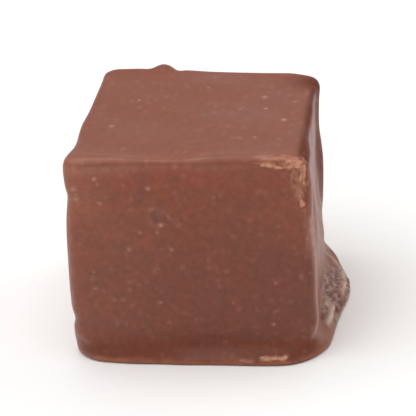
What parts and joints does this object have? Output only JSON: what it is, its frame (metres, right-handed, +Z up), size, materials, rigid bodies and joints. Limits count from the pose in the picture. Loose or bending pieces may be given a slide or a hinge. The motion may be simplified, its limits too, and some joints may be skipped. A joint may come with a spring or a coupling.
{
  "type": "chocolate-coated turkish delight",
  "caption": "Cube of turkish delight dipped whole in milk chocolate, with rounded edges and a thin, uneven foot of set coating round its flat base.",
  "frame": {"origin": "in the flat base, under the middle of the bounding box", "axes": "+Z up from the base to the top, +X along the width to the viewer's right, -Y towards the viewer"},
  "size_m": [0.0282, 0.027, 0.0226],
  "materials": {
    "milk_chocolate": "set milk chocolate, satin, with pale scuffs along its edges and small light specks"
  },
  "bodies": {
    "root": {"coated_delight": "milk_chocolate"}
  },
  "joints": []
}
